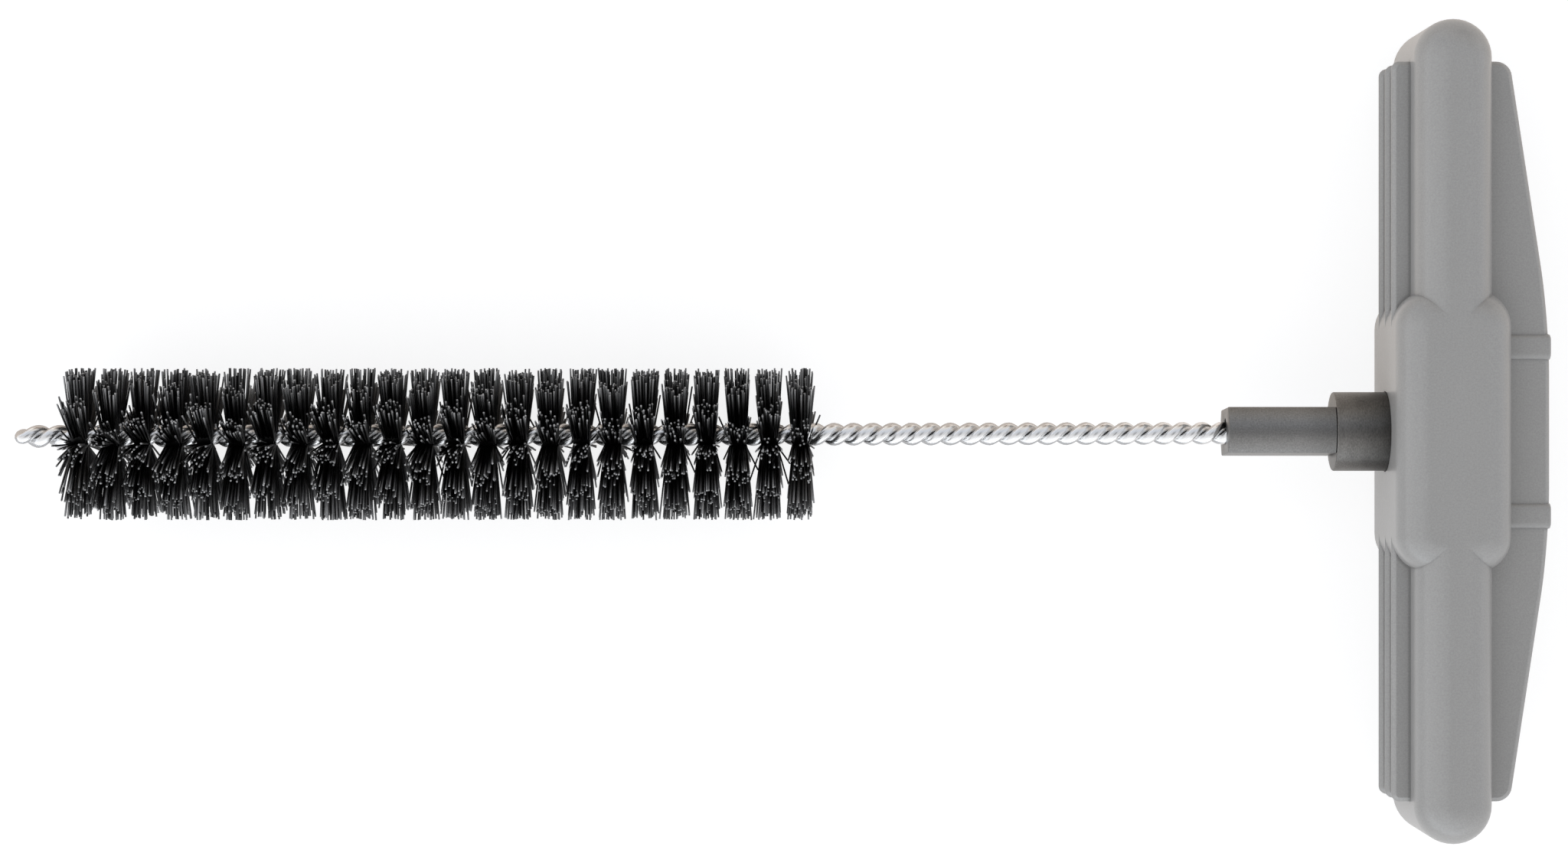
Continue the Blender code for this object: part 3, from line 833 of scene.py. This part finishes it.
wire_bm = bmesh.new()
along_layer = wire_bm.verts.layers.float.new("along")
around_layer = wire_bm.verts.layers.float_vector.new("around")
headings = [(b - a).normalized() for a, b in zip(route, route[1:])]
headings.append(headings[-1])
ring_turn = headings[0].to_track_quat("Z", "Y").to_matrix().to_4x4()
ring = bmesh.ops.create_circle(wire_bm, cap_ends=False, radius=WIRE_DIAMETER / 2, segments=WIRE_SIDES,
                               matrix=Matrix.Translation(route[0]) @ ring_turn)["verts"]
for number, vert in enumerate(ring):
    angle = 2 * math.pi * number / WIRE_SIDES
    vert[around_layer] = (math.cos(angle), math.sin(angle), 0)
ring_edges = list({edge for vert in ring for edge in vert.link_edges})
first_ring = list(ring_edges)
travelled = 0.0
last_heading = headings[0]
for number in range(1, len(route)):
    before, here = route[number - 1], route[number]
    heading = (headings[number - 1] + headings[number]).normalized()
    turn = last_heading.rotation_difference(heading).to_matrix().to_4x4()
    last_heading = heading
    step = Matrix.Translation(here) @ turn @ Matrix.Translation(-before)
    grown = bmesh.ops.extrude_edge_only(wire_bm, edges=ring_edges)["geom"]
    ring = [item for item in grown if isinstance(item, bmesh.types.BMVert)]
    ring_edges = [item for item in grown if isinstance(item, bmesh.types.BMEdge)]
    bmesh.ops.transform(wire_bm, matrix=step, verts=ring)
    travelled += (here - before).length
    for vert in ring:
        vert[along_layer] = travelled
print(f"walked {travelled * 1000:.0f} mm, {len(wire_bm.faces)} faces")

# %% [markdown]
# ## Bright wire
# Drawn steel is bright, with very fine lines along it from the die. The walk left two attributes on
# the wire: how far along it a point is, and where round it. A noise that is read at those places runs
# with the wire through every twist. Object coordinates would make the lines cut across it.

# %% Wire material
LINES_ALONG, LINES_AROUND = 220.0, (9.0, 9.0, 0.0)
NOISE_SPAN, WIRE_ROUGHNESSES, WIRE_TONES = (0.3, 0.7), (0.20, 0.29), (0.74, 0.88)
LINE_RELIEF, LINE_STRENGTH, LINE_DETAIL = 0.000006, 0.6, 3


def attribute(tree, name):
    """An attribute of the mesh, with its outputs Fac and Vector."""
    node = tree.nodes.new("ShaderNodeAttribute")
    node.attribute_name = name
    return node.outputs


wire_steel, tree, shader = new_material("wire_steel")
place = tree.nodes.new("ShaderNodeCombineXYZ")
feed(tree, place.inputs["Z"], maths(tree, "MULTIPLY", attribute(tree, "along")["Fac"], LINES_ALONG))
around = attribute(tree, "around")["Vector"]
place_on_wire = vector_maths(tree, "MULTIPLY_ADD", around, LINES_AROUND, place.outputs[0])
lines = noise(tree, place_on_wire, 1, LINE_DETAIL)
relief = tree.nodes.new("ShaderNodeBump")
feed_all(tree, relief.inputs, {"Strength": LINE_STRENGTH, "Distance": LINE_RELIEF, "Height": lines})
feed_all(tree, shader.inputs, {
    "Metallic": 1.0,
    "Roughness": mapped(tree, lines, *NOISE_SPAN, *WIRE_ROUGHNESSES),
    "Base Color": mapped(tree, lines, *NOISE_SPAN, *WIRE_TONES),
    "Normal": relief.outputs["Normal"],
})
print("wire steel ready")

# %% The wire
WIRE_SHARP_DEGREES = 40

bmesh.ops.edgeloop_fill(wire_bm, edges=first_ring)
bmesh.ops.edgeloop_fill(wire_bm, edges=ring_edges)
wire = finish_piece("twisted_wire", wire_bm, [wire_steel], ["stem_wire"])
smooth_piece(wire, WIRE_SHARP_DEGREES)
print(f"twisted wire: {len(wire.data.polygons)} faces")

# %% [markdown]
# ## Black nylon
# The bristles are stiff black nylon of a quarter of a millimetre. Their colour is painted shade deep
# in the row, where they are nearly black, and painted light towards their ends, which are a dark grey.
# A cut end has a material of its own, painted pale as a painted highlight where the light catches it.
# Each bristle carries its own random shade, as a mask, and the shelter group paints shade on whatever
# stands in a crowd, nearly black, and painted light on what stands free, so that single bristles show
# up.

# %% Bristle materials
# From this share of a bristle's length, painted light makes it paler towards its end.
PAINTED_LIGHT_FROM = 0.58
NYLON_GRAIN = (7000, 900, 0.5, 0.3)


def bristle_material(name, root, tip, roughness, gloss, crowding):
    """root and tip are the tones at both ends, painted shade at the root and painted light at the tip;
    crowding holds the numbers of the shelter group, which paints shade in a crowd.
    """
    material, tree, shader = new_material(name)
    along = attribute(tree, "along")["Fac"]
    own_shade = attribute(tree, "shade")["Fac"]
    speck = place_group(tree, grain, (object_place(tree), *NYLON_GRAIN))["Tone"]
    # Painted shade at the root, painted light towards the end.
    tone = maths(tree, "MULTIPLY", mapped(tree, along, PAINTED_LIGHT_FROM, 1, root, tip), own_shade)
    tone = maths(tree, "MULTIPLY", tone, speck)
    tone = maths(tree, "MULTIPLY", tone, place_group(tree, shelter, crowding)["Tone"])
    feed_all(tree, shader.inputs, {
        "Base Color": tone,
        "Roughness": roughness,
        "Specular IOR Level": gloss,
    })
    return material


nylon_side = bristle_material(
    "nylon_side", root=0.002, tip=0.165, roughness=0.42, gloss=0.4,
    # Painted shade in a crowd, and painted light up to 1.8 times where a bristle stands free.
    crowding=(0.004, 0.45, 0.80, 0.02, 1.8),
)
# The cut ends are painted pale: a painted highlight where the light catches them, with painted shade in
# a crowd.
nylon_end = bristle_material(
    "nylon_cut_end", root=0.25, tip=0.25, roughness=0.55, gloss=0.5,
    crowding=(0.001, 0.3, 0.9, 0.6, 1.0),
)
print("nylon ready")

# %% [markdown]
# ## Bristle rows
# The brush has 24 rows. In each, the bristles stand round the wire in ten tufts, 36 degrees apart,
# and every second row is turned by nearly half of that. The bristles of a row are packed side by side
# at the wire and spread a little on their way out, which gives the row the shape of a bow tie.
# A particle system could scatter them, but it doesn't make plain meshes and its hairs would have no
# cut ends. So each bristle is a six-sided rod, made by create_cone and turned to its direction.

# %% Sizes of the rows
ROW_COUNT, ROW_PITCH, TUFT_COUNT = 24, 0.00409, 10
BRUSH_RADIUS, BRUSH_DROP = 0.00995, 0.00165
BRISTLE_DIAMETER, BRISTLE_SIDES, BRISTLES_PER_TUFT = 0.00025, 6, 30
ROOT_RADIUS, ROOT_HALF_WIDTH, TIP_HALF_WIDTH = 0.0004, 0.00105, 0.00163
ROW_TURNS = (math.radians(28), math.radians(13))
TUFT_SPREAD, SPREAD_LIMIT = math.radians(5.2), 2.2
LENGTH_SPREAD = 0.0011
UNRULY_ROWS, UNRULY_LEAN = 11, 0.00035
TUFT_TURNS = (math.radians(1.5), math.radians(4))
TUFT_LEANS, BRISTLE_LEANS = (0.00008, 0.00008), (0.00012, 0.00008)
STRAYS, STRAY_REACHES, STRAY_LEANS = 3, (0.0030, 0.0085), (0.0008, 0.0019)
FIRST_ROW_STRAYS, FIRST_ROW_REACHES = 14, (0.0030, 0.0058)
print(f"{ROW_COUNT} rows, {TUFT_COUNT} tufts of {BRISTLES_PER_TUFT} bristles in each")


# %% One bristle
def add_bristle(bm, root, tip, layers, shade):
    """One rod from its root to its cut end."""
    along, shades = layers
    direction = tip - root
    turn = direction.to_track_quat("Z", "Y").to_matrix().to_4x4()
    rod = bmesh.ops.create_cone(
        bm, cap_ends=True, segments=BRISTLE_SIDES, radius1=BRISTLE_DIAMETER / 2,
        radius2=BRISTLE_DIAMETER / 2, depth=direction.length,
        matrix=Matrix.Translation((root + tip) / 2) @ turn,
    )["verts"]
    for vert in rod:
        vert[along] = float((vert.co - root).dot(direction) > direction.length_squared / 2)
        vert[shades] = shade
    ends = {face for vert in rod for face in vert.link_faces if len(face.verts) == BRISTLE_SIDES}
    for face in ends:
        face.material_index = 1


print("a bristle can be made")


# %% Where each bristle goes
def outward(angle):
    """The direction away from the wire at an angle round it."""
    return Vector((0, math.sin(angle), math.cos(angle)))


def bristle_places(number, chance):
    """Pairs of root and tip for one row. The rows near the wire's tip are less tidy."""
    wild = max(0.0, 1 - number / UNRULY_ROWS)
    centre = Vector((FIRST_ROW_X + number * ROW_PITCH, -BRUSH_DROP, AXIS_Z))

    def scatter(spreads, middle=0.0):
        """A random number whose spread grows with the row's wildness."""
        return chance.gauss(middle, spreads[0] + spreads[1] * wild)

    for tuft in range(TUFT_COUNT):
        turn = ROW_TURNS[number % 2] + 2 * math.pi * tuft / TUFT_COUNT + scatter(TUFT_TURNS)
        tuft_lean = scatter(TUFT_LEANS, UNRULY_LEAN * wild)
        slots = list(range(BRISTLES_PER_TUFT))
        chance.shuffle(slots)
        for slot in slots:
            across = 2 * (slot + chance.random()) / BRISTLES_PER_TUFT - 1
            spread = max(-SPREAD_LIMIT, min(SPREAD_LIMIT, chance.gauss(0, 1)))
            outwards = outward(turn + spread * TUFT_SPREAD)
            lean = tuft_lean + scatter(BRISTLE_LEANS)
            reach = BRUSH_RADIUS - LENGTH_SPREAD * chance.random() ** 2
            root = centre + outwards * ROOT_RADIUS + Vector((across * ROOT_HALF_WIDTH, 0, 0))
            tip = centre + outwards * reach + Vector((across * TIP_HALF_WIDTH + lean, 0, 0))
            yield root, tip

    first = number == 0
    for _ in range(FIRST_ROW_STRAYS if first else STRAYS):
        outwards = outward(chance.uniform(0, 2 * math.pi))
        side = -1 if first else chance.choice((-1, 1))
        lean = side * chance.uniform(*STRAY_LEANS)
        reach = chance.uniform(*(FIRST_ROW_REACHES if first else STRAY_REACHES))
        root = centre + outwards * ROOT_RADIUS + Vector((side * ROOT_HALF_WIDTH, 0, 0))
        yield root, root + outwards * reach + Vector((lean, 0, 0))


print("places ready")

# %% Build the rows
HUB_RADIUS, HUB_LENGTH, HUB_SIDES = 0.00185, 0.0018, 24
SHADES = (0.4, 1.6)
ROD_SHARP_DEGREES = 65

chance = random.Random(31)
total = 0
for number in range(ROW_COUNT):
    row_bm = bmesh.new()
    layers = [row_bm.verts.layers.float.new(name) for name in ("along", "shade")]
    x = FIRST_ROW_X + number * ROW_PITCH
    lying = Matrix.Translation((x, stem_y(x), AXIS_Z)) @ Matrix.Rotation(math.pi / 2, 4, "Y")
    bmesh.ops.create_cone(row_bm, cap_ends=True, segments=HUB_SIDES, radius1=HUB_RADIUS,
                          radius2=HUB_RADIUS, depth=HUB_LENGTH, matrix=lying)
    for root, tip in bristle_places(number, chance):
        add_bristle(row_bm, root, tip, layers, chance.uniform(*SHADES))
        total += 1
    node = f"bristle_row_{number + 1:02d}"
    row = finish_piece(f"bristles_{number + 1:02d}", row_bm, [nylon_side, nylon_end], [node])
    smooth_faces(row, ROD_SHARP_DEGREES)
print(f"{total} bristles in {ROW_COUNT} rows")

# %% Finish
bpy.context.scene.view_settings.view_transform = "Standard"
bpy.context.view_layer.update()
